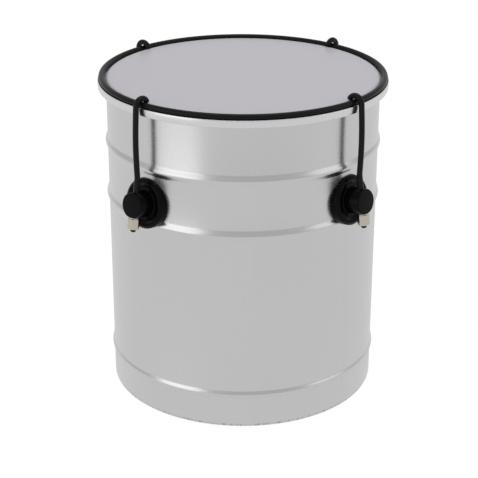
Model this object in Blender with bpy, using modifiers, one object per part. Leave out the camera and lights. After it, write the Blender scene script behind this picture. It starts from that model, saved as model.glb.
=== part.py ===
"""Hand repique: an aluminium drum shell with one film head, pulled down by four hook rods.

The origin is on the floor under the centre of the shell, with +Z up. Lengths are in metres.
Each of the four tuners is a lug on the shell, a hook rod that holds the tension ring down, and a
nut and washer under the lug. The threaded end of the rod leans by the same angle as the lug.
"""

import math

import bpy
from mathutils import Matrix

MM = 0.001

# Clearance between pieces that touch, and the facets of the turned pieces
FIT_GAP = 0.3 * MM
TURN_STEPS = 48
SMALL_STEPS = 16
LUG_STEPS = 28
ARC_STEPS = 3
BEAD_STEPS = 4
ROD_SIDES_LEVEL = 2

# Shell, rolled inwards at both rims
SHELL_RADIUS = 126.0 * MM
SHELL_HEIGHT = 300.0 * MM
SHELL_WALL = 1.2 * MM
RIM_RADIUS = 3.0 * MM
TOP_LIP = 3.0 * MM
BOTTOM_LIP = 5.0 * MM

# Pressed beads: height of the crest above the floor, height and how far each stands out
BEAD_PROUD = 2.0 * MM
UPPER_BEAD_Z = 241.0 * MM
MIDDLE_BEAD_Z = 189.8 * MM
WIDE_BEAD_HEIGHT = 11.5 * MM
LOWER_BEAD_Z = 33.6 * MM
LOWER_BEAD_HEIGHT = 8.0 * MM
LOWER_BEAD_PROUD = 1.6 * MM

# Film head and the flesh hoop that its edge is pressed into
FILM_THICKNESS = 0.3 * MM
HOOP_RADIUS = 133.6 * MM
HOOP_HEIGHT = 6.7 * MM
HOOP_INNER_WALL = 1.2 * MM
HOOP_SLOT_DEPTH = 3.4 * MM
HOOP_LIP = 1.1 * MM
HOOP_CORNER = 0.5 * MM

# Tension ring
RING_BAR_RADIUS = 2.8 * MM

# Tuners
TUNERS = {"front_left": -135.0, "front_right": -45.0, "back_right": 45.0, "back_left": 135.0}
LUG_Z = 209.0 * MM
LUG_TILT = math.radians(8.3)
LUG_RADIUS = 22.6 * MM
LUG_EDGE_REACH = 4.0 * MM
LUG_CREST_RADIUS = 19.6 * MM
LUG_CREST_REACH = 6.4 * MM
LUG_DISH_RADIUS = 15.0 * MM
LUG_DISH_REACH = 3.6 * MM
LUG_ROOT = 12.0 * MM
BOSS_RADIUS = 11.6 * MM
BOSS_REACH = 20.4 * MM
BOSS_EDGE = 1.2 * MM
BORE_REACH = 15.5 * MM
SEAT_DEPTH = 10.4 * MM

ROD_RADIUS = 2.6 * MM
ROD_TRAVEL = 4.8 * MM
ROD_END_PROUD = 2.8 * MM
HOOK_END_DEG = 155.0
ROD_BOW = 1.2 * MM
ROD_BOW_Z = 264.0 * MM
ROD_BEND_Z = 236.0 * MM

NUT_ACROSS_FLATS = 9.5 * MM
NUT_HEIGHT = 9.5 * MM
NUT_CHAMFER = 0.7 * MM
WASHER_RADIUS = 5.2 * MM
WASHER_THICKNESS = 1.0 * MM

# Lug screws, driven from inside the shell
SCREW_RADIUS = 2.5 * MM
SCREW_REACH = 10.5 * MM
SCREW_HEAD_RADIUS = 4.6 * MM
SCREW_HEAD_HEIGHT = 3.2 * MM
SCREW_SOCKET_RADIUS = 2.3 * MM
SCREW_SOCKET_DEPTH = 1.8 * MM
INSIDE_WASHER_RADIUS = 5.6 * MM

# Places that follow from the sizes above
FILM_TOP = SHELL_HEIGHT + FIT_GAP + FILM_THICKNESS
COLLAR_INNER = SHELL_RADIUS + FIT_GAP
COLLAR_OUTER = COLLAR_INNER + FILM_THICKNESS
RING_RADIUS = COLLAR_OUTER + FIT_GAP + RING_BAR_RADIUS
RING_Z = SHELL_HEIGHT + FIT_GAP
RING_SEAT_Z = RING_Z - RING_BAR_RADIUS - FIT_GAP
HOOP_TOP = RING_SEAT_Z + HOOP_LIP
HOOP_BOTTOM = HOOP_TOP - HOOP_HEIGHT
HOOP_INNER = COLLAR_OUTER + FIT_GAP
FILM_BEND_Z = SHELL_HEIGHT - RIM_RADIUS
INNER_WALL_TOP = FILM_BEND_Z - FILM_THICKNESS - FIT_GAP
ROD_BORE = ROD_RADIUS + FIT_GAP
ROD_LEG_RADIUS = HOOP_RADIUS + FIT_GAP + ROD_RADIUS + ROD_TRAVEL * math.sin(LUG_TILT)
INSIDE_RADIUS = SHELL_RADIUS - SHELL_WALL

parts = bpy.data.collections.new("hand_repique")
cutters = bpy.data.collections.new("cutters")


def clear_scene():
    """Removes what a new file holds."""
    for old in list(bpy.data.objects):
        bpy.data.objects.remove(old, do_unlink=True)


def finish(name, colour, roughness, metallic):
    """A plain surface for one sub-part."""
    material = bpy.data.materials.new(name)
    material.use_nodes = True
    shader = material.node_tree.nodes["Principled BSDF"]
    shader.inputs["Base Color"].default_value = (*colour, 1.0)
    shader.inputs["Roughness"].default_value = roughness
    shader.inputs["Metallic"].default_value = metallic
    return material


def arc(centre_r, centre_z, radius, start_deg, end_deg, steps=ARC_STEPS):
    """Points of an arc in the turning plane, both ends included."""
    points = []
    for i in range(steps + 1):
        angle = math.radians(start_deg + (end_deg - start_deg) * i / steps)
        points.append((centre_r + radius * math.cos(angle), centre_z + radius * math.sin(angle)))
    return points


def bead(crest_z, height, proud, wall_radius):
    """Points of one pressed bead, from its top crease to its bottom crease."""
    points = []
    for i in range(BEAD_STEPS + 1):
        share = 2.0 * i / BEAD_STEPS - 1.0
        swell = proud * math.cos(share * math.pi / 2)
        points.append((wall_radius + swell, crest_z - share * height / 2))
    return points


def wall_points(wall_radius):
    """The straight wall with its three beads, top to bottom."""
    return (
        bead(UPPER_BEAD_Z, WIDE_BEAD_HEIGHT, BEAD_PROUD, wall_radius)
        + bead(MIDDLE_BEAD_Z, WIDE_BEAD_HEIGHT, BEAD_PROUD, wall_radius)
        + bead(LOWER_BEAD_Z, LOWER_BEAD_HEIGHT, LOWER_BEAD_PROUD, wall_radius)
    )


def place(item, name, material=None, matrix=None):
    """Names an object, files it with the parts or the cutters and puts it in its place."""
    item.name = name
    if item.data is not None:
        item.data.name = name
    for group in list(item.users_collection):
        group.objects.unlink(item)
    if material is None:
        cutters.objects.link(item)
        item.hide_render = True
        item.display_type = "WIRE"
    else:
        parts.objects.link(item)
        item.data.materials.append(material)
    if matrix is not None:
        item.matrix_world = matrix
    return item


def turned(name, outline, closed, material=None, matrix=None, steps=TURN_STEPS):
    """Turns an outline of (radius, height) points about Z. It runs down its outer side."""
    mesh = bpy.data.meshes.new(name)
    count = len(outline)
    edges = [(i, i + 1) for i in range(count - 1)]
    if closed:
        edges.append((count - 1, 0))
    mesh.from_pydata([(r, 0.0, z) for r, z in outline], edges, [])
    item = place(bpy.data.objects.new(name, mesh), name, material, matrix)
    screw = item.modifiers.new("turn", "SCREW")
    screw.axis = "Z"
    screw.angle = math.tau
    screw.steps = steps
    screw.render_steps = steps
    screw.use_merge_vertices = True
    screw.merge_threshold = 0.00001
    screw.use_smooth_shade = True
    return item


def cylinder(name, radius, depth, sides, material=None, matrix=None):
    """A round or six-sided bar along its own Z, centred on its origin."""
    bpy.ops.mesh.primitive_cylinder_add(vertices=sides, radius=radius, depth=depth)
    return place(bpy.context.object, name, material, matrix)


def cut(item, cutter, operation="DIFFERENCE"):
    """Cuts an object with a cutter."""
    boolean = item.modifiers.new(cutter.name, "BOOLEAN")
    boolean.operation = operation
    boolean.solver = "EXACT"
    boolean.object = cutter


def lug_frame(azimuth_deg):
    """A lug's own axes on the shell's face: +X out of the lug, +Z up along the rod's thread."""
    turn = Matrix.Rotation(math.radians(azimuth_deg), 4, "Z")
    lean = Matrix.Rotation(-LUG_TILT, 4, "Y")
    return turn @ Matrix.Translation((SHELL_RADIUS, 0.0, LUG_Z)) @ lean


def rod_frame(azimuth_deg):
    """The thread's axis, at the middle of the lug's bore."""
    return lug_frame(azimuth_deg) @ Matrix.Translation((BORE_REACH, 0.0, 0.0))


def screw_frame(azimuth_deg):
    """The lug screw's axis, which is level: +Z points outwards from the drum's centre."""
    turn = Matrix.Rotation(math.radians(azimuth_deg), 4, "Z")
    lie = Matrix.Rotation(math.pi / 2, 4, "Y")
    return turn @ Matrix.Translation((0.0, 0.0, LUG_Z)) @ lie


def make_shell(material):
    """The aluminium shell, open at both ends, with a hole for each lug screw."""
    top_edge = SHELL_RADIUS - RIM_RADIUS
    outer = [(top_edge - TOP_LIP, SHELL_HEIGHT)]
    outer += arc(top_edge, SHELL_HEIGHT - RIM_RADIUS, RIM_RADIUS, 90, 0)
    outer += wall_points(SHELL_RADIUS)
    outer += arc(top_edge, RIM_RADIUS, RIM_RADIUS, 0, -90)
    outer.append((top_edge - BOTTOM_LIP, 0.0))
    inner = [(top_edge - TOP_LIP, SHELL_HEIGHT - SHELL_WALL)]
    inner += arc(top_edge, SHELL_HEIGHT - RIM_RADIUS, RIM_RADIUS - SHELL_WALL, 90, 0)
    inner += wall_points(INSIDE_RADIUS)
    inner += arc(top_edge, RIM_RADIUS, RIM_RADIUS - SHELL_WALL, 0, -90)
    inner.append((top_edge - BOTTOM_LIP, SHELL_WALL))
    shell = turned("shell", outer + inner[::-1], True, material)
    for place_name, azimuth in TUNERS.items():
        hole = cylinder(
            f"shell_hole_{place_name}", SCREW_RADIUS + FIT_GAP, 30 * MM, SMALL_STEPS,
            matrix=screw_frame(azimuth) @ Matrix.Translation((0, 0, SHELL_RADIUS)),
        )
        cut(shell, hole)


def make_film(material):
    """The milky film: flat on top, over the shell's rim, out and down into the flesh hoop."""
    shoulder = SHELL_RADIUS - RIM_RADIUS
    inner_fold = HOOP_INNER + HOOP_INNER_WALL + FIT_GAP
    fold_end = FILM_BEND_Z - HOOP_SLOT_DEPTH - FIT_GAP
    outline = [(0.0, FILM_TOP)]
    outline += arc(shoulder, FILM_BEND_Z, COLLAR_OUTER - shoulder, 90, 0)
    outline += [
        (inner_fold + FILM_THICKNESS, FILM_BEND_Z),
        (inner_fold + FILM_THICKNESS, fold_end),
        (inner_fold, fold_end),
        (inner_fold, FILM_BEND_Z - FILM_THICKNESS),
        (COLLAR_INNER, FILM_BEND_Z - FILM_THICKNESS),
    ]
    outline += arc(shoulder, FILM_BEND_Z, COLLAR_INNER - shoulder, 0, 90)
    outline.append((0.0, FILM_TOP - FILM_THICKNESS))
    turned("head_film", outline, False, material)


def make_hoop(material):
    """The aluminium flesh hoop, with the slot that grips the film and the ring's seat."""
    slot_inner = HOOP_INNER + HOOP_INNER_WALL
    slot_outer = slot_inner + FILM_THICKNESS + 2 * FIT_GAP
    slot_floor = FILM_BEND_Z - HOOP_SLOT_DEPTH - 2 * FIT_GAP
    lip_inner = RING_RADIUS + RING_BAR_RADIUS + FIT_GAP
    outline = [
        (lip_inner, HOOP_TOP),
        (HOOP_RADIUS - HOOP_CORNER, HOOP_TOP),
        (HOOP_RADIUS, HOOP_TOP - HOOP_CORNER),
        (HOOP_RADIUS, HOOP_BOTTOM + HOOP_CORNER),
        (HOOP_RADIUS - HOOP_CORNER, HOOP_BOTTOM),
        (HOOP_INNER, HOOP_BOTTOM),
        (HOOP_INNER, INNER_WALL_TOP),
        (slot_inner, INNER_WALL_TOP),
        (slot_inner, slot_floor),
        (slot_outer, slot_floor),
        (slot_outer, RING_SEAT_Z),
        (lip_inner - HOOP_LIP, RING_SEAT_Z),
    ]
    turned("flesh_hoop", outline, True, material)


def make_ring(material):
    """The round bar that presses the flesh hoop down."""
    bpy.ops.mesh.primitive_torus_add(
        major_radius=RING_RADIUS, minor_radius=RING_BAR_RADIUS,
        major_segments=TURN_STEPS, minor_segments=10, location=(0.0, 0.0, RING_Z),
    )
    ring = place(bpy.context.object, "tension_ring", material)
    ring.data.shade_smooth()


def make_shell_cutter():
    """The room that the shell takes, with a clearance, for the backs of the lugs."""
    radius = SHELL_RADIUS + FIT_GAP
    outline = [(0.0, SHELL_HEIGHT), (radius, SHELL_HEIGHT)] + wall_points(radius)
    outline += [(radius, 0.0), (0.0, 0.0)]
    return turned("shell_room", outline, False)


def make_lug(name, azimuth, shell_room, material):
    """One moulded lug: a dished disc with a boss that the rod passes through."""
    outline = [(0.0, BOSS_REACH)]
    outline += arc(BOSS_RADIUS - BOSS_EDGE, BOSS_REACH - BOSS_EDGE, BOSS_EDGE, 90, 0)
    outline += [
        (BOSS_RADIUS, LUG_DISH_REACH + BOSS_EDGE),
        (BOSS_RADIUS + BOSS_EDGE, LUG_DISH_REACH),
        (LUG_DISH_RADIUS, LUG_DISH_REACH),
        (LUG_CREST_RADIUS - BOSS_EDGE, LUG_CREST_REACH),
        (LUG_CREST_RADIUS, LUG_CREST_REACH),
        ((LUG_CREST_RADIUS + LUG_RADIUS) / 2 + BOSS_EDGE / 2, (LUG_CREST_REACH + LUG_EDGE_REACH) / 2 + BOSS_EDGE / 2),
        (LUG_RADIUS, LUG_EDGE_REACH),
        (LUG_RADIUS, -LUG_ROOT),
        (0.0, -LUG_ROOT),
    ]
    frame = lug_frame(azimuth)
    out_of_lug = frame @ Matrix.Rotation(math.pi / 2, 4, "Y")
    lug = turned(f"lug_{name}", outline, False, material, out_of_lug, steps=LUG_STEPS)
    cut(lug, shell_room)
    cut(lug, cylinder(f"rod_bore_{name}", ROD_BORE, 4 * BOSS_RADIUS, SMALL_STEPS, matrix=rod_frame(azimuth)))
    bpy.ops.mesh.primitive_cube_add(size=2 * BOSS_RADIUS)
    seat_shift = Matrix.Translation((LUG_CREST_REACH + 2 * BOSS_RADIUS / 2 + FIT_GAP, 0.0, -SEAT_DEPTH - BOSS_RADIUS))
    cut(lug, place(bpy.context.object, f"nut_seat_{name}", matrix=frame @ seat_shift))
    screw_room = cylinder(
        f"screw_bore_{name}", SCREW_RADIUS + FIT_GAP, 2 * (SCREW_REACH + FIT_GAP), SMALL_STEPS,
        matrix=screw_frame(azimuth) @ Matrix.Translation((0, 0, SHELL_RADIUS)),
    )
    cut(lug, screw_room)


def rod_route():
    """The rod's centre line as (radius, height) points, from the hook's tip to the thread's end."""
    tip_radius = RING_RADIUS - RING_BAR_RADIUS - 2 * FIT_GAP - ROD_RADIUS - FIT_GAP
    arch_r = (ROD_LEG_RADIUS + tip_radius) / 2
    arch_radius = (ROD_LEG_RADIUS - tip_radius) / 2
    spare = arch_radius - ROD_RADIUS - RING_BAR_RADIUS - FIT_GAP
    arch_z = RING_Z - math.sqrt(max(spare ** 2 - (arch_r - RING_RADIUS) ** 2, 0.0))
    route = arc(arch_r, arch_z, arch_radius, HOOK_END_DEG, 0, 8)
    thread = rod_frame(0.0)
    bend = thread @ Matrix.Translation((0, 0, (ROD_BEND_Z - LUG_Z) / math.cos(LUG_TILT) - BORE_REACH * math.tan(LUG_TILT)))
    bend_r, bend_z = bend.translation.x, bend.translation.z
    steps = 9
    for i in range(1, steps):
        share = i / steps
        z = arch_z + (bend_z - arch_z) * share
        r = ROD_LEG_RADIUS + (bend_r - ROD_LEG_RADIUS) * share + ROD_BOW * math.sin(math.pi * share)
        route.append((r, z))
    route.append((bend_r, bend_z))
    low = SEAT_DEPTH + 2 * FIT_GAP + WASHER_THICKNESS + NUT_HEIGHT + ROD_END_PROUD
    end = thread @ Matrix.Translation((0, 0, -low))
    route.append((end.translation.x, end.translation.z))
    return route


def make_rod(name, azimuth, material):
    """One hook rod, with its origin on its thread's axis."""
    home = rod_frame(0.0).inverted()
    curve = bpy.data.curves.new(f"hook_rod_{name}", "CURVE")
    curve.dimensions = "3D"
    curve.bevel_depth = ROD_RADIUS
    curve.bevel_resolution = ROD_SIDES_LEVEL
    curve.use_fill_caps = True
    route = rod_route()
    spline = curve.splines.new("POLY")
    spline.points.add(len(route) - 1)
    for point, (r, z) in zip(spline.points, route):
        spot = home @ Matrix.Translation((r, 0.0, z))
        point.co = (*spot.translation, 1.0)
    rod = bpy.data.objects.new(f"hook_rod_{name}", curve)
    place(rod, f"hook_rod_{name}", material, rod_frame(azimuth))


def make_nut(name, azimuth, material):
    """One tall hexagon nut, chamfered at both ends, with its origin on the thread's axis."""
    corner = NUT_ACROSS_FLATS / 2 / math.cos(math.pi / 6)
    top = -(SEAT_DEPTH + 2 * FIT_GAP + WASHER_THICKNESS)
    frame = rod_frame(azimuth)
    middle = Matrix.Translation((0, 0, top - NUT_HEIGHT / 2))
    bpy.ops.mesh.primitive_cylinder_add(vertices=6, radius=corner, depth=NUT_HEIGHT)
    nut = bpy.context.object
    nut.data.transform(middle)
    place(nut, f"tuning_nut_{name}", material, frame)
    flat = NUT_ACROSS_FLATS / 2
    bottom = top - NUT_HEIGHT
    barrel = [
        (0.0, top), (flat, top), (corner + FIT_GAP, top - NUT_CHAMFER),
        (corner + FIT_GAP, bottom + NUT_CHAMFER), (flat, bottom), (0.0, bottom),
    ]
    cut(nut, turned(f"nut_barrel_{name}", barrel, False, matrix=frame, steps=24), "INTERSECT")
    cut(nut, cylinder(f"nut_bore_{name}", ROD_BORE, 6 * NUT_HEIGHT, SMALL_STEPS, matrix=frame))


def make_washer(name, azimuth, material):
    """The washer between a nut and its lug's seat."""
    top = -(SEAT_DEPTH + FIT_GAP)
    outline = [(ROD_BORE, top), (WASHER_RADIUS, top), (WASHER_RADIUS, top - WASHER_THICKNESS), (ROD_BORE, top - WASHER_THICKNESS)]
    turned(f"nut_washer_{name}", outline, True, material, rod_frame(azimuth), steps=SMALL_STEPS)


def make_lug_screw(name, azimuth, steel, washer_steel):
    """The screw that holds a lug from inside the shell, and its washer."""
    facet_drop = INSIDE_WASHER_RADIUS * math.tan(math.pi / TURN_STEPS)
    face = INSIDE_RADIUS - facet_drop - FIT_GAP
    under_head = face - WASHER_THICKNESS - FIT_GAP
    frame = screw_frame(azimuth)
    bore = SCREW_RADIUS + FIT_GAP
    washer = [(bore, face), (INSIDE_WASHER_RADIUS, face), (INSIDE_WASHER_RADIUS, face - WASHER_THICKNESS), (bore, face - WASHER_THICKNESS)]
    turned(f"inside_washer_{name}", washer, True, washer_steel, frame, steps=SMALL_STEPS)
    tip = SHELL_RADIUS + SCREW_REACH
    back = under_head - SCREW_HEAD_HEIGHT
    outline = [(0.0, tip), (SCREW_RADIUS, tip), (SCREW_RADIUS, under_head), (SCREW_HEAD_RADIUS, under_head)]
    outline += arc(SCREW_HEAD_RADIUS - BOSS_EDGE, back + BOSS_EDGE, BOSS_EDGE, 0, -90)
    outline.append((0.0, back))
    screw = turned(f"lug_screw_{name}", outline, False, steel, frame, steps=SMALL_STEPS)
    socket_place = frame @ Matrix.Translation((0, 0, back))
    cut(screw, cylinder(f"socket_{name}", SCREW_SOCKET_RADIUS, 2 * SCREW_SOCKET_DEPTH, 6, matrix=socket_place))


def build():
    """Makes every piece of the drum."""
    clear_scene()
    for group in (parts, cutters):
        bpy.context.scene.collection.children.link(group)
    aluminium = finish("rolled_aluminium", (0.66, 0.66, 0.68), 0.32, 1.0)
    hoop_metal = finish("hoop_aluminium", (0.74, 0.74, 0.76), 0.28, 1.0)
    milky = finish("milky_film", (0.76, 0.75, 0.80), 0.4, 0.0)
    black_steel = finish("black_steel", (0.02, 0.02, 0.022), 0.35, 0.0)
    moulding = finish("black_moulding", (0.012, 0.012, 0.014), 0.25, 0.0)
    nickel = finish("nickel", (0.62, 0.58, 0.50), 0.3, 1.0)
    zinc = finish("zinc", (0.6, 0.6, 0.6), 0.4, 1.0)
    make_shell(aluminium)
    make_film(milky)
    make_hoop(hoop_metal)
    make_ring(black_steel)
    shell_room = make_shell_cutter()
    for name, azimuth in TUNERS.items():
        make_lug(name, azimuth, shell_room, moulding)
        make_rod(name, azimuth, black_steel)
        make_washer(name, azimuth, nickel)
        make_nut(name, azimuth, nickel)
        make_lug_screw(name, azimuth, zinc, zinc)
    bpy.context.view_layer.update()


build()
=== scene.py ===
"""The looks of a hand repique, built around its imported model.

Every length is in metres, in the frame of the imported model: the origin is on the floor under the
centre of the shell, with +Z up.
"""

import logging
import math
from dataclasses import dataclass
from enum import Enum

import bpy
from mathutils import Matrix, Vector


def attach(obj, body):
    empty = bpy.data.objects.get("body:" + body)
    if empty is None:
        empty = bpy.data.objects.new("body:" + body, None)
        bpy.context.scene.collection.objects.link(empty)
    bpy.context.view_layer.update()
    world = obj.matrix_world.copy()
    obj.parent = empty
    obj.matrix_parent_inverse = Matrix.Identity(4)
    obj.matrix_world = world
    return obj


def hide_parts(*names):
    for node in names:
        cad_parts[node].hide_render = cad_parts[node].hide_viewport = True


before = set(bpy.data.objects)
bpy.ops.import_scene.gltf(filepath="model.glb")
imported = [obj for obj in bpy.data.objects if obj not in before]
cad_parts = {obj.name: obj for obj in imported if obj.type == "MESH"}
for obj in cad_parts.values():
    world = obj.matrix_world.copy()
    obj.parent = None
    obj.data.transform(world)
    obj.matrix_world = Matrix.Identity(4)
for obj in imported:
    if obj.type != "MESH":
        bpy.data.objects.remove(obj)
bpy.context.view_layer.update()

MM = 0.001
FIT_GAP = 0.3 * MM
DRUM_RADIUS = 126.0 * MM
SAME_SPOT = 0.002 * MM
SMOOTH_BELOW = math.radians(32)

Outline = list[tuple[float, float]]
Place = tuple[float, float, float]
SHOP: dict[str, bpy.types.Material] = {}
log = logging.getLogger("repique")


class Body(Enum):
    """The bodies that pieces ride on; a tuner's own bodies end in its name."""

    DRUM = "drum"
    ROD = "rod"
    NUT = "nut"


class Socket:
    """A shader value that can be written in plain sums."""

    def __init__(self, tree: bpy.types.NodeTree, output: bpy.types.NodeSocket) -> None:
        """Keeps the tree and the output that carries the value."""
        self.tree = tree
        self.output = output

    def _math(self, operation: str, *others: "Socket | float") -> "Socket":
        """Adds one Math node.

        Args:
            operation: The node's operation.
            others: The values after this one.

        Returns:
            The node's result.
        """
        node = self.tree.nodes.new("ShaderNodeMath")
        node.operation = operation
        for slot, value in zip(node.inputs, (self, *others)):
            if isinstance(value, Socket):
                self.tree.links.new(value.output, slot)
            else:
                slot.default_value = value
        return Socket(self.tree, node.outputs[0])

    def __add__(self, other: "Socket | float") -> "Socket":
        """The sum."""
        return self._math("ADD", other)

    def __sub__(self, other: "Socket | float") -> "Socket":
        """The difference."""
        return self._math("SUBTRACT", other)

    def __mul__(self, other: "Socket | float") -> "Socket":
        """The product."""
        return self._math("MULTIPLY", other)

    def __abs__(self) -> "Socket":
        """The size without its sign."""
        return self._math("ABSOLUTE")

    def below(self, limit: float) -> "Socket":
        """One where the value is below the limit, and nought elsewhere."""
        return self._math("LESS_THAN", limit)

    def angle_from(self, across: "Socket") -> "Socket":
        """The angle whose tangent is this value over the other."""
        return self._math("ARCTAN2", across)


@dataclass(frozen=True)
class Finish:
    """One finish, with fine changes of tone, gloss and height over the surface."""

    name: str
    colour: tuple[float, float, float]
    tone_change: float = 0.06
    roughness: float = 0.3
    gloss_change: float = 0.08
    metallic: float = 0.0
    coat: float = 0.0
    specular: float = 0.5
    grain_size: float = 1.0 * MM
    grain_stretch: float = 1.0
    grain_height: float = 0.02 * MM
    seam_deg: float | None = None
    seam_half_width: float = 0.35 * MM
    seam_darkness: float = 0.35
    wrinkle_top: float = 0.0
    wrinkle_scale: float = 450.0
    wrinkle_stretch: float = 0.35
    wrinkle_cover: float = 0.44
    # Painted shade at the bottom edge: how much darker the wrinkle creases and the whole bottom band
    # are made.
    wrinkle_painted_shade: float = 0.3
    bottom_painted_shade: float = 0.06
    cloud_scale: float = 12.0
    cloud_share: float = 0.5
    bump_strength: float = 0.35

    @staticmethod
    def node(tree: bpy.types.NodeTree, kind: str) -> bpy.types.Node:
        """Adds a node of any kind."""
        return tree.nodes.new(kind)

    @classmethod
    def noise(
        cls, tree: bpy.types.NodeTree, place: bpy.types.NodeSocket, scale: float, stretch: float
    ) -> Socket:
        """Adds noise over the object's own coordinates.

        Args:
            tree: The material's node tree.
            place: The coordinates.
            scale: Grains in a metre.
            stretch: How much the scale shrinks upwards, for an upright grain.

        Returns:
            The noise, from nought to one.
        """
        mapping = cls.node(tree, "ShaderNodeMapping")
        mapping.inputs["Scale"].default_value = (scale, scale, scale * stretch)
        tree.links.new(place, mapping.inputs["Vector"])
        texture = cls.node(tree, "ShaderNodeTexNoise")
        texture.inputs["Scale"].default_value = 1.0
        texture.inputs["Detail"].default_value = 3.0
        tree.links.new(mapping.outputs[0], texture.inputs["Vector"])
        return Socket(tree, texture.outputs[0])

    def tone(
        self, tree: bpy.types.NodeTree, place: bpy.types.NodeSocket, fine: Socket
    ) -> Socket:
        """How light the surface is, with its grain, clouds, seam and painted shade at the wrinkled
        edge.

        Args:
            tree: The material's node tree.
            place: The object's own coordinates.
            fine: The grain.

        Returns:
            The lightness, about one.
        """
        split = self.node(tree, "ShaderNodeSeparateXYZ")
        tree.links.new(place, split.inputs[0])
        across, along, up = (Socket(tree, split.outputs[i]) for i in range(3))
        broad = self.noise(tree, place, self.cloud_scale, 1.0)
        clouds = (broad - 0.5) * (self.tone_change * self.cloud_share)
        tone = (fine - 0.5) * self.tone_change + clouds + 1.0
        if self.seam_deg is not None:
            turn = along.angle_from(across) - math.radians(self.seam_deg)
            seam = abs(turn).below(self.seam_half_width / DRUM_RADIUS)
            tone = tone - seam * self.seam_darkness
        # Painted shade: darker ticks stand in for the shade in the wrinkles of the rolled bottom
        # edge, and the whole band below wrinkle_top is darkened as painted shade where the edge
        # curls under.
        if self.wrinkle_top:
            ticks = self.noise(tree, place, self.wrinkle_scale, self.wrinkle_stretch)
            edge = up.below(self.wrinkle_top)
            crease_painted_shade = edge * ticks.below(self.wrinkle_cover) * self.wrinkle_painted_shade
            tone = tone - crease_painted_shade - edge * self.bottom_painted_shade
        return tone

    def material(self) -> bpy.types.Material:
        """Builds the material from nodes.

        Returns:
            The finished material.
        """
        made = bpy.data.materials.new(self.name)
        made.use_nodes = True
        tree = made.node_tree
        shader = tree.nodes["Principled BSDF"]
        shader.inputs["Metallic"].default_value = self.metallic
        shader.inputs["Coat Weight"].default_value = self.coat
        shader.inputs["Specular IOR Level"].default_value = self.specular
        place = self.node(tree, "ShaderNodeTexCoord").outputs["Object"]
        fine = self.noise(tree, place, 1.0 / self.grain_size, self.grain_stretch)
        tone = self.tone(tree, place, fine)
        scale = self.node(tree, "ShaderNodeVectorMath")
        scale.operation = "SCALE"
        scale.inputs[0].default_value = self.colour
        tree.links.new(tone.output, scale.inputs["Scale"])
        tree.links.new(scale.outputs[0], shader.inputs["Base Color"])
        rough = (fine - 0.5) * self.gloss_change + self.roughness
        tree.links.new(rough.output, shader.inputs["Roughness"])
        bump = self.node(tree, "ShaderNodeBump")
        bump.inputs["Strength"].default_value = self.bump_strength
        bump.inputs["Distance"].default_value = self.grain_height
        tree.links.new(fine.output, bump.inputs["Height"])
        tree.links.new(bump.outputs[0], shader.inputs["Normal"])
        return made


# The rolled shell's lowest 3.4 mm get painted shade: darker ticks for the wrinkle creases and a
# darker band where the rim curls under.
ROLLED = Finish(
    "rolled_aluminium", (0.62, 0.615, 0.625), tone_change=0.02, roughness=0.27, gloss_change=0.05,
    metallic=1.0, grain_size=0.7 * MM, grain_stretch=0.03, grain_height=0.004 * MM,
    seam_deg=-177.5, wrinkle_top=3.4 * MM,
)
TURNED = Finish(
    "hoop_aluminium", (0.70, 0.70, 0.71), roughness=0.24, metallic=1.0, grain_size=0.8 * MM,
    grain_height=0.01 * MM,
)
MILKY = Finish(
    "milky_film", (0.545, 0.53, 0.575), tone_change=0.02, roughness=0.42, gloss_change=0.05,
    coat=0.05, grain_size=0.9 * MM, grain_height=0.01 * MM,
)
BLACK_STEEL = Finish(
    "black_steel", (0.008, 0.008, 0.009), tone_change=0.3, roughness=0.3, specular=0.12,
    grain_size=0.5 * MM, grain_height=0.006 * MM,
)
MOULDING = Finish(
    "black_moulding", (0.0025, 0.0025, 0.003), tone_change=0.3, roughness=0.2, gloss_change=0.05,
    specular=0.07, grain_size=0.6 * MM, grain_height=0.006 * MM,
)
NICKEL = Finish(
    "nickel", (0.55, 0.51, 0.44), tone_change=0.14, roughness=0.3, metallic=1.0,
    grain_size=0.5 * MM, grain_height=0.015 * MM,
)
ZINC = Finish(
    "zinc", (0.5, 0.51, 0.52), tone_change=0.16, roughness=0.38, metallic=1.0,
    grain_size=0.5 * MM, grain_height=0.015 * MM,
)


def arc(
    centre: tuple[float, float], radius: float, start_deg: float, end_deg: float, steps: int
) -> Outline:
    """Points of an arc in the turning plane.

    Args:
        centre: Its centre, as radius and height.
        radius: Its own radius.
        start_deg: Where it starts.
        end_deg: Where it ends.
        steps: How many stretches it has.

    Returns:
        The points, both ends included.
    """
    spots = []
    for i in range(steps + 1):
        angle = math.radians(start_deg + (end_deg - start_deg) * i / steps)
        spots.append((centre[0] + radius * math.cos(angle), centre[1] + radius * math.sin(angle)))
    return spots


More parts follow.
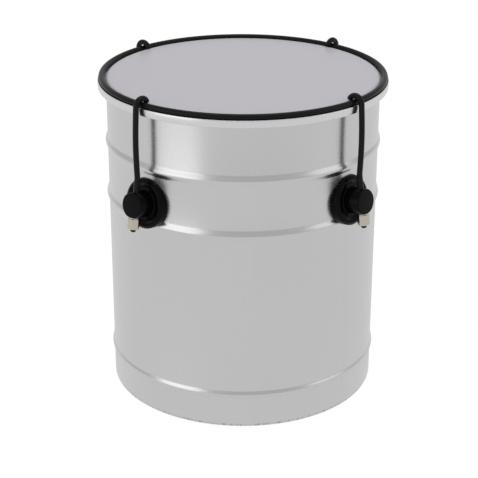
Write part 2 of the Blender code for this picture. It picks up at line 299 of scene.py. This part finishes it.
class Bench:
    """The ways that a piece is shaped and handed over."""

    START_SIZE = 10.0 * MM

    @staticmethod
    def clear() -> None:
        """Deselects everything."""
        bpy.ops.object.select_all(action="DESELECT")

    @staticmethod
    def choose(item: bpy.types.Object) -> None:
        """Selects one object alone."""
        Bench.clear()
        item.select_set(True)
        bpy.context.view_layer.objects.active = item

    @staticmethod
    def spin(name: str, outline: Outline, steps: int, closed: bool = False) -> bpy.types.Object:
        """Draws an outline point by point and spins it about Z.

        Args:
            name: The piece's name.
            outline: Its points, as radius and height.
            steps: Facets round the turn.
            closed: Whether the last point joins the first.

        Returns:
            The turned piece.
        """
        Bench.clear()
        bpy.ops.mesh.primitive_plane_add(size=Bench.START_SIZE)
        item = bpy.context.object
        item.name = name
        bpy.ops.object.mode_set(mode="EDIT")
        bpy.ops.mesh.select_all(action="SELECT")
        bpy.ops.mesh.merge(type="CENTER")
        route = outline + outline[:1] if closed else outline
        here = (0.0, 0.0)
        for i, there in enumerate(route):
            step = (there[0] - here[0], 0.0, there[1] - here[1])
            if i == 0:
                bpy.ops.transform.translate(value=step)
            else:
                bpy.ops.mesh.extrude_region_move(TRANSFORM_OT_translate={"value": step})
            here = there
        bpy.ops.mesh.select_all(action="SELECT")
        bpy.ops.mesh.spin(steps=steps, angle=math.tau, center=(0, 0, 0), axis=(0, 0, 1))
        bpy.ops.mesh.select_all(action="SELECT")
        bpy.ops.mesh.remove_doubles(threshold=SAME_SPOT)
        bpy.ops.mesh.normals_make_consistent(inside=False)
        bpy.ops.object.mode_set(mode="OBJECT")
        return item

    @staticmethod
    def put(item: bpy.types.Object, matrix: Matrix) -> None:
        """Moves a piece to its place and settles it there.

        Args:
            item: The piece.
            matrix: Its place.
        """
        item.matrix_world = matrix
        Bench.choose(item)
        bpy.ops.object.transform_apply(location=True, rotation=True, scale=True)

    @staticmethod
    def cut(item: bpy.types.Object, cutter: bpy.types.Object, way: str = "DIFFERENCE") -> None:
        """Cuts a piece and throws the cutter away.

        Args:
            item: The piece.
            cutter: The solid that cuts it.
            way: The Boolean's operation.
        """
        Bench.choose(item)
        boolean = item.modifiers.new("cut", "BOOLEAN")
        boolean.operation = way
        boolean.solver = "EXACT"
        boolean.object = cutter
        bpy.ops.object.modifier_apply(modifier=boolean.name)
        bpy.data.objects.remove(cutter, do_unlink=True)

    @staticmethod
    def bar(radius: float, depth: float, sides: int, matrix: Matrix) -> bpy.types.Object:
        """A round or six-sided bar for cutting.

        Args:
            radius: Its radius.
            depth: Its length along Z.
            sides: Its sides.
            matrix: Its place.

        Returns:
            The bar.
        """
        Bench.clear()
        bpy.ops.mesh.primitive_cylinder_add(vertices=sides, radius=radius, depth=depth)
        item = bpy.context.object
        Bench.put(item, matrix)
        return item

    @staticmethod
    def hand_over(item: bpy.types.Object, finish: Finish, body: str, node: str) -> None:
        """Smooths a piece, dresses it and makes it ride.

        Args:
            item: The piece.
            finish: Its finish, which is named as its material slot.
            body: The body that it rides on.
            node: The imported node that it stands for.
        """
        Bench.choose(item)
        bpy.ops.object.shade_smooth_by_angle(angle=SMOOTH_BELOW)
        item.data.materials.clear()
        item.data.materials.append(SHOP[finish.name])
        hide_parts(node)
        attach(item, body)
        log.info("%s rides on %s", item.name, body)


@dataclass
class Drum:
    """The beaded shell, its film head, the flesh hoop and the tension ring."""

    gap: float = FIT_GAP
    radius: float = DRUM_RADIUS
    height: float = 300.0 * MM
    wall: float = 1.2 * MM
    rim: float = 3.0 * MM
    top_lip: float = 3.0 * MM
    bottom_lip: float = 5.0 * MM
    film: float = 0.3 * MM
    hoop_radius: float = 133.6 * MM
    hoop_height: float = 6.7 * MM
    hoop_wall: float = 1.2 * MM
    slot_depth: float = 3.4 * MM
    hoop_lip: float = 1.1 * MM
    corner: float = 0.5 * MM
    bar: float = 2.8 * MM
    turn_steps: int = 192
    beads: tuple[Place, ...] = (
        (241.0 * MM, 11.5 * MM, 2.0 * MM),
        (189.8 * MM, 11.5 * MM, 2.0 * MM),
        (33.6 * MM, 8.0 * MM, 1.6 * MM),
    )
    bead_steps: int = 14
    bead_fullness: float = 1.12
    bead_sharpness: float = 0.45
    rim_steps: int = 8
    rim_inner_steps: int = 6
    corner_steps: int = 4
    film_rings: tuple[float, ...] = (0.0, 40.0 * MM, 90.0 * MM)
    bar_sides: int = 20

    @property
    def ring_radius(self) -> float:
        """The radius of the ring's centre line."""
        return self.radius + 2 * self.gap + self.film + self.gap + self.bar

    def wall_line(self, radius: float) -> Outline:
        """The wall's line with its pressed beads.

        Args:
            radius: The plain wall's radius.

        Returns:
            The line, top to bottom.
        """
        spots: Outline = []
        for crest, tall, proud in self.beads:
            for i in range(self.bead_steps + 1):
                share = 2.0 * i / self.bead_steps - 1.0
                swell = 1.0 - abs(share)
                soft = 0.5 - 0.5 * math.cos(math.pi * min(1.0, swell * self.bead_fullness))
                shape = (1.0 - self.bead_sharpness) * soft + self.bead_sharpness * swell
                spots.append((radius + proud * shape, crest - share * tall / 2))
        return spots

    def shell(self) -> bpy.types.Object:
        """The shell, rolled inwards at both rims.

        Returns:
            The turned shell.
        """
        edge = self.radius - self.rim
        low, high = (edge, self.rim), (edge, self.height - self.rim)
        outer = [(edge - self.top_lip, self.height)] + arc(high, self.rim, 90, 0, self.rim_steps)
        outer += self.wall_line(self.radius)
        outer += arc(low, self.rim, 0, -90, self.rim_steps)
        outer.append((edge - self.bottom_lip, 0.0))
        within = self.rim - self.wall
        inner = [(edge - self.top_lip, self.height - self.wall)]
        inner += arc(high, within, 90, 0, self.rim_inner_steps)
        inner += self.wall_line(self.radius - self.wall)
        inner += arc(low, within, 0, -90, self.rim_inner_steps)
        inner.append((edge - self.bottom_lip, self.wall))
        return Bench.spin("shell_skin", outer + inner[::-1], self.turn_steps, closed=True)

    def head(self) -> bpy.types.Object:
        """The film, over the rim and down into the hoop's slot.

        Returns:
            The turned film.
        """
        inner = self.radius + self.gap
        outer = inner + self.film
        shoulder = self.radius - self.rim
        bend = self.height - self.rim
        fold = outer + self.gap + self.hoop_wall + self.gap
        end = bend - self.slot_depth - self.gap
        top = self.height + self.gap + self.film
        line = [(r, top) for r in self.film_rings]
        line += arc((shoulder, bend), outer - shoulder, 90, 0, self.rim_steps)
        line += [(fold + self.film, bend), (fold + self.film, end), (fold, end)]
        line += [(fold, bend - self.film), (inner, bend - self.film)]
        line += arc((shoulder, bend), inner - shoulder, 0, 90, self.rim_steps)
        line.append((0.0, top - self.film))
        return Bench.spin("film_head", line, self.turn_steps)

    def hoop(self) -> bpy.types.Object:
        """The flesh hoop, with its slot and the ring's seat.

        Returns:
            The turned hoop.
        """
        inner = self.radius + self.gap + self.film + self.gap
        slot_in = inner + self.hoop_wall
        slot_out = slot_in + self.film + 2 * self.gap
        bend = self.height - self.rim
        floor = bend - self.slot_depth - 2 * self.gap
        seat = self.height + self.gap - self.bar - self.gap
        top = seat + self.hoop_lip
        bottom = top - self.hoop_height
        lip = self.ring_radius + self.bar + self.gap
        line = [(lip, top)]
        side = self.hoop_radius - self.corner
        line += arc((side, top - self.corner), self.corner, 90, 0, self.corner_steps)
        line += arc((side, bottom + self.corner), self.corner, 0, -90, self.corner_steps)
        line += [(inner, bottom), (inner, bend - self.film - self.gap)]
        line += [(slot_in, bend - self.film - self.gap), (slot_in, floor), (slot_out, floor)]
        line += [(slot_out, seat), (lip - self.hoop_lip, seat)]
        return Bench.spin("hoop_rim", line, self.turn_steps, closed=True)

    def ring(self) -> bpy.types.Object:
        """The round bar that presses the hoop down.

        Returns:
            The ring.
        """
        middle = (self.ring_radius, self.height + self.gap)
        line = arc(middle, self.bar, 90, -270, self.bar_sides)[:-1]
        return Bench.spin("ring_bar", line, self.turn_steps, closed=True)

    def build(self) -> None:
        """Makes and dresses the four pieces."""
        body = Body.DRUM.value
        Bench.hand_over(self.shell(), ROLLED, body, "shell")
        Bench.hand_over(self.head(), MILKY, body, "head_film")
        Bench.hand_over(self.hoop(), TURNED, body, "flesh_hoop")
        Bench.hand_over(self.ring(), BLACK_STEEL, body, "tension_ring")


@dataclass
class Tuner:
    """One lug with its hook rod, nut and washer."""

    name: str
    azimuth_deg: float
    drum: Drum
    lug_z: float = 209.0 * MM
    tilt: float = math.radians(8.3)
    disc: float = 22.6 * MM
    edge_reach: float = 4.0 * MM
    crest: float = 19.6 * MM
    crest_reach: float = 6.4 * MM
    dish: float = 15.0 * MM
    dish_reach: float = 3.6 * MM
    root: float = 12.0 * MM
    boss: float = 11.6 * MM
    boss_reach: float = 20.4 * MM
    boss_edge: float = 1.2 * MM
    bore_reach: float = 15.5 * MM
    seat: float = 10.4 * MM
    rod: float = 2.6 * MM
    travel: float = 4.8 * MM
    end_proud: float = 2.8 * MM
    bow: float = 1.2 * MM
    bend_z: float = 236.0 * MM
    hook_end_deg: float = 155.0
    flats: float = 9.5 * MM
    nut_height: float = 9.5 * MM
    nut_chamfer: float = 0.7 * MM
    washer: float = 5.2 * MM
    washer_thick: float = 1.0 * MM
    pitch: float = 0.8 * MM
    thread_depth: float = 0.4 * MM
    thread_shy: float = 0.02 * MM
    thread_end: float = 0.7 * MM
    thread_overlap: float = 1.0 * MM
    lug_steps: int = 96
    bore_sides: int = 40
    boss_steps: int = 6
    edge_steps: int = 5
    lug_round: float = 2.0 * MM
    crest_inset: float = 0.2 * MM
    crest_end_deg: float = 62.0
    side_start_deg: float = 48.0
    side_inset: float = 0.4 * MM
    hook_steps: int = 18
    leg_steps: int = 22
    rod_rounding: int = 6
    thread_sides: int = 32
    nut_sides: int = 72
    washer_sides: int = 64
    washer_corner: float = 0.2 * MM

    @property
    def lug_frame(self) -> Matrix:
        """The lug's own axes: +X out of it, +Z up along the thread."""
        turn = Matrix.Rotation(math.radians(self.azimuth_deg), 4, "Z")
        lean = Matrix.Rotation(-self.tilt, 4, "Y")
        return turn @ Matrix.Translation((self.drum.radius, 0.0, self.lug_z)) @ lean

    @property
    def rod_frame(self) -> Matrix:
        """The thread's axis."""
        return self.lug_frame @ Matrix.Translation((self.bore_reach, 0.0, 0.0))

    @property
    def nut_top(self) -> float:
        """The nut's upper face along the thread."""
        return -(self.seat + 2 * self.drum.gap + self.washer_thick)

    def lug(self) -> bpy.types.Object:
        """The dished disc and its boss, cut to the shell, the rod and the nut's seat.

        Returns:
            The lug.
        """
        gap = self.drum.gap
        edge, curve = self.boss_edge, self.lug_round
        line = [(0.0, self.boss_reach)]
        line += arc((self.boss - edge, self.boss_reach - edge), edge, 90, 0, self.boss_steps)
        line += arc((self.boss + edge, self.dish_reach + edge), edge, 180, 270, self.edge_steps)
        line.append((self.dish, self.dish_reach))
        rise = math.degrees(math.atan2(self.crest_reach - self.dish_reach, self.crest - self.dish))
        top = (self.crest - self.crest_inset, self.crest_reach - curve)
        line += arc(top, curve, 90 + rise, self.crest_end_deg, self.boss_steps)
        side = (self.disc - curve, self.edge_reach - self.side_inset)
        line += arc(side, curve, self.side_start_deg, 0, self.edge_steps)
        line += [(self.disc, -self.root), (0.0, -self.root)]
        lug = Bench.spin(f"lug_body_{self.name}", line, self.lug_steps)
        Bench.put(lug, self.lug_frame @ Matrix.Rotation(math.pi / 2, 4, "Y"))
        radius = self.drum.radius + gap
        room = [(0.0, self.drum.height), (radius, self.drum.height)] + self.drum.wall_line(radius)
        room += [(radius, 0.0), (0.0, 0.0)]
        Bench.cut(lug, Bench.spin("room", room, self.drum.turn_steps))
        Bench.cut(lug, Bench.bar(self.rod + gap, 4 * self.boss, self.bore_sides, self.rod_frame))
        Bench.clear()
        bpy.ops.mesh.primitive_cube_add(size=2 * self.boss)
        seat = bpy.context.object
        shift = (self.crest_reach + self.boss + gap, 0.0, -self.seat - self.boss)
        Bench.put(seat, self.lug_frame @ Matrix.Translation(shift))
        Bench.cut(lug, seat)
        return lug

    def route(self) -> list[Vector]:
        """The rod's centre line from the hook's tip down to the top of its thread.

        Returns:
            The points, in the row frame, before the tuner's own turn.
        """
        drum = self.drum
        leg = drum.hoop_radius + drum.gap + self.rod + self.travel * math.sin(self.tilt)
        tip = drum.ring_radius - drum.bar - 3 * drum.gap - self.rod
        arch_r, arch = (leg + tip) / 2, (leg - tip) / 2
        spare = arch - self.rod - drum.bar - drum.gap
        drop = math.sqrt(max(spare**2 - (arch_r - drum.ring_radius) ** 2, 0.0))
        arch_z = drum.height + drum.gap - drop
        spots = arc((arch_r, arch_z), arch, self.hook_end_deg, 0, self.hook_steps)
        home = Tuner(self.name, 0.0, drum).rod_frame
        up = (self.bend_z - self.lug_z) / math.cos(self.tilt) - self.bore_reach * math.tan(self.tilt)
        bend = (home @ Matrix.Translation((0, 0, up))).translation
        for i in range(1, self.leg_steps):
            share = i / self.leg_steps
            sway = self.bow * math.sin(math.pi * share)
            spots.append((leg + (bend.x - leg) * share + sway, arch_z + (bend.z - arch_z) * share))
        spots.append((bend.x, bend.z))
        stop = (home @ Matrix.Translation((0, 0, self.nut_top + self.thread_overlap))).translation
        spots.append((stop.x, stop.z))
        return [Vector((r, 0.0, z)) for r, z in spots]

    def hook(self) -> bpy.types.Object:
        """The hook rod with its cut thread.

        Returns:
            The rod, threaded at its lower end.
        """
        Bench.clear()
        bpy.ops.curve.primitive_bezier_curve_add(radius=Bench.START_SIZE)
        curve = bpy.context.object
        curve.data.splines.clear()
        spots = self.route()
        line = curve.data.splines.new("POLY")
        line.points.add(len(spots) - 1)
        for point, spot in zip(line.points, spots):
            point.co = (*spot, 1.0)
        curve.data.bevel_depth = self.rod
        curve.data.bevel_resolution = self.rod_rounding
        curve.data.use_fill_caps = True
        Bench.choose(curve)
        bpy.ops.object.convert(target="MESH")
        rod = bpy.context.object
        rod.name = f"hook_bar_{self.name}"
        Bench.put(rod, Matrix.Rotation(math.radians(self.azimuth_deg), 4, "Z"))
        low = self.nut_top - self.nut_height - self.end_proud
        high = self.nut_top + self.thread_overlap
        crest = self.rod - self.thread_shy
        thread = [(0.0, high), (self.rod - self.thread_depth, high)]
        turns = int((high - low) / self.pitch)
        for i in range(turns):
            z = high - (i + 0.5) * self.pitch
            thread += [(crest, z), (crest - self.thread_depth, z - self.pitch / 2)]
        thread += [(self.rod - self.thread_end, low), (0.0, low)]
        screw = Bench.spin("thread", thread, self.thread_sides)
        Bench.put(screw, self.rod_frame)
        Bench.clear()
        screw.select_set(True)
        rod.select_set(True)
        bpy.context.view_layer.objects.active = rod
        bpy.ops.object.join()
        return rod

    def nut(self) -> bpy.types.Object:
        """The tall hexagon nut, chamfered at both ends.

        Returns:
            The nut.
        """
        corner = self.flats / 2 / math.cos(math.pi / 6)
        middle = Matrix.Translation((0, 0, self.nut_top - self.nut_height / 2))
        nut = Bench.bar(corner, self.nut_height, 6, self.rod_frame @ middle)
        nut.name = f"hex_nut_{self.name}"
        flat, top = self.flats / 2, self.nut_top
        bottom = top - self.nut_height
        out = corner + self.drum.gap
        barrel = [(0.0, top), (flat, top), (out, top - self.nut_chamfer)]
        barrel += [(out, bottom + self.nut_chamfer), (flat, bottom), (0.0, bottom)]
        cutter = Bench.spin("barrel", barrel, self.nut_sides)
        Bench.put(cutter, self.rod_frame)
        Bench.cut(nut, cutter, "INTERSECT")
        bore, depth = self.rod + self.drum.gap, 6 * self.nut_height
        Bench.cut(nut, Bench.bar(bore, depth, self.bore_sides, self.rod_frame))
        return nut

    def disc_washer(self) -> bpy.types.Object:
        """The washer under the lug's seat.

        Returns:
            The washer.
        """
        top = -(self.seat + self.drum.gap)
        low = top - self.washer_thick
        bore, soft = self.rod + self.drum.gap, self.washer_corner
        line = [(bore, top), (self.washer - soft, top), (self.washer, top - soft)]
        line += [(self.washer, low + soft), (self.washer - soft, low), (bore, low)]
        washer = Bench.spin(f"seat_washer_{self.name}", line, self.washer_sides, closed=True)
        Bench.put(washer, self.rod_frame)
        return washer

    def build(self) -> None:
        """Makes and dresses the tuner's pieces, and dresses its packed inside fixings."""
        drum = Body.DRUM.value
        Bench.hand_over(self.lug(), MOULDING, drum, f"lug_{self.name}")
        Bench.hand_over(self.hook(), BLACK_STEEL, f"{Body.ROD.value}_{self.name}",
                        f"hook_rod_{self.name}")
        Bench.hand_over(self.nut(), NICKEL, f"{Body.NUT.value}_{self.name}",
                        f"tuning_nut_{self.name}")
        Bench.hand_over(self.disc_washer(), NICKEL, drum, f"nut_washer_{self.name}")
        for kind in ("lug_screw", "inside_washer"):
            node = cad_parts[f"{kind}_{self.name}"]
            node.material_slots[0].material = SHOP[ZINC.name]


@dataclass(frozen=True)
class Lamp:
    """One square lamp: its name, its place, the length of its side and its power in watts."""

    name: str
    place: Place
    size: float
    power: float


LAMPS = (
    Lamp("left_lamp", (-1.3, -0.9, 0.55), 1.1, 3.6),
    Lamp("right_lamp", (1.5, -0.5, 0.8), 1.1, 2.0),
    Lamp("top_lamp", (0.1, 0.3, 1.9), 1.3, 7.4),
)


@dataclass
class Studio:
    """The pale floor, the soft lamps and the camera."""

    floor_size: float = 9.0
    floor_drop: float = 0.4 * MM
    camera_place: Place = (-0.06985, -1.26708, 0.67181)
    looking: Place = (0.0482, 0.9197, -0.3897)
    lens: float = 107.49
    roll: float = 0.0022
    sensor: float = 36.0
    nearest: float = 10.0 * MM
    lamp_aim: Place = (0.0, 0.0, 0.16)
    surround: float = 0.62
    floor_seen: float = 1.07
    floor_glossy: float = 0.85
    floor_grey: float = 0.8
    floor_white_share: float = 0.88

    def floor(self) -> None:
        """A white floor that keeps the drum's shadow."""
        Bench.clear()
        bpy.ops.mesh.primitive_plane_add(size=self.floor_size, location=(0, 0, -self.floor_drop))
        floor = bpy.context.object
        floor.name = "floor"
        made = bpy.data.materials.new("floor")
        made.use_nodes = True
        tree = made.node_tree
        tree.nodes.clear()
        path = tree.nodes.new("ShaderNodeLightPath")
        diffuse = tree.nodes.new("ShaderNodeBsdfDiffuse")
        diffuse.inputs["Color"].default_value = (*[self.floor_grey] * 3, 1.0)
        seen = tree.nodes.new("ShaderNodeEmission")
        seen.inputs["Strength"].default_value = self.floor_seen
        glossy = tree.nodes.new("ShaderNodeEmission")
        glossy.inputs["Strength"].default_value = self.floor_glossy
        keep = tree.nodes.new("ShaderNodeMixShader")
        keep.inputs["Fac"].default_value = self.floor_white_share
        tree.links.new(diffuse.outputs[0], keep.inputs[1])
        tree.links.new(seen.outputs[0], keep.inputs[2])
        by_camera = tree.nodes.new("ShaderNodeMixShader")
        tree.links.new(path.outputs["Is Camera Ray"], by_camera.inputs["Fac"])
        tree.links.new(diffuse.outputs[0], by_camera.inputs[1])
        tree.links.new(keep.outputs[0], by_camera.inputs[2])
        by_gloss = tree.nodes.new("ShaderNodeMixShader")
        tree.links.new(path.outputs["Is Glossy Ray"], by_gloss.inputs["Fac"])
        tree.links.new(by_camera.outputs[0], by_gloss.inputs[1])
        tree.links.new(glossy.outputs[0], by_gloss.inputs[2])
        output = tree.nodes.new("ShaderNodeOutputMaterial")
        tree.links.new(by_gloss.outputs[0], output.inputs["Surface"])
        floor.data.materials.append(made)

    def surroundings(self) -> None:
        """A world that is white to the camera and pale grey to the drum."""
        world = bpy.data.worlds.new("studio")
        bpy.context.scene.world = world
        world.use_nodes = True
        tree = world.node_tree
        tree.nodes.clear()
        path = tree.nodes.new("ShaderNodeLightPath")
        lit = tree.nodes.new("ShaderNodeBackground")
        lit.inputs["Strength"].default_value = self.surround
        seen = tree.nodes.new("ShaderNodeBackground")
        seen.inputs["Strength"].default_value = 1.0
        for node in (lit, seen):
            node.inputs["Color"].default_value = (1.0, 1.0, 1.0, 1.0)
        mix = tree.nodes.new("ShaderNodeMixShader")
        output = tree.nodes.new("ShaderNodeOutputWorld")
        tree.links.new(path.outputs["Is Camera Ray"], mix.inputs["Fac"])
        tree.links.new(lit.outputs[0], mix.inputs[1])
        tree.links.new(seen.outputs[0], mix.inputs[2])
        tree.links.new(mix.outputs[0], output.inputs["Surface"])

    def hang(self, lamp: Lamp) -> None:
        """Hangs one lamp, facing the drum.

        Args:
            lamp: The lamp.
        """
        Bench.clear()
        bpy.ops.object.light_add(type="AREA", location=lamp.place)
        hung = bpy.context.object
        hung.name = lamp.name
        hung.data.size = lamp.size
        hung.data.energy = lamp.power
        aim = Vector(self.lamp_aim) - Vector(lamp.place)
        hung.rotation_euler = aim.to_track_quat("-Z", "Y").to_euler()

    def camera(self) -> None:
        """The camera at the photograph's place."""
        Bench.clear()
        bpy.ops.object.camera_add(location=self.camera_place)
        camera = bpy.context.object
        camera.data.lens = self.lens
        camera.data.sensor_width = self.sensor
        camera.data.clip_start = self.nearest
        turn = Vector(self.looking).to_track_quat("-Z", "Y").to_matrix()
        turn = turn @ Matrix.Rotation(self.roll, 3, "Z")
        camera.rotation_euler = turn.to_euler()
        bpy.context.scene.camera = camera

    def build(self) -> None:
        """Sets up the whole studio."""
        self.floor()
        self.surroundings()
        for lamp in LAMPS:
            self.hang(lamp)
        self.camera()
        bpy.context.scene.view_settings.view_transform = "Standard"


TUNERS = {"front_left": -135.0, "front_right": -45.0, "back_right": 45.0, "back_left": 135.0}


def main() -> None:
    """Builds the drum's looks and the studio, in order."""
    logging.basicConfig(level=logging.INFO)
    for finish in (ROLLED, TURNED, MILKY, BLACK_STEEL, MOULDING, NICKEL, ZINC):
        SHOP[finish.name] = finish.material()
    drum = Drum()
    drum.build()
    for name, azimuth in TUNERS.items():
        Tuner(name, azimuth, drum).build()
    Studio().build()


if __name__ == "__main__":
    main()
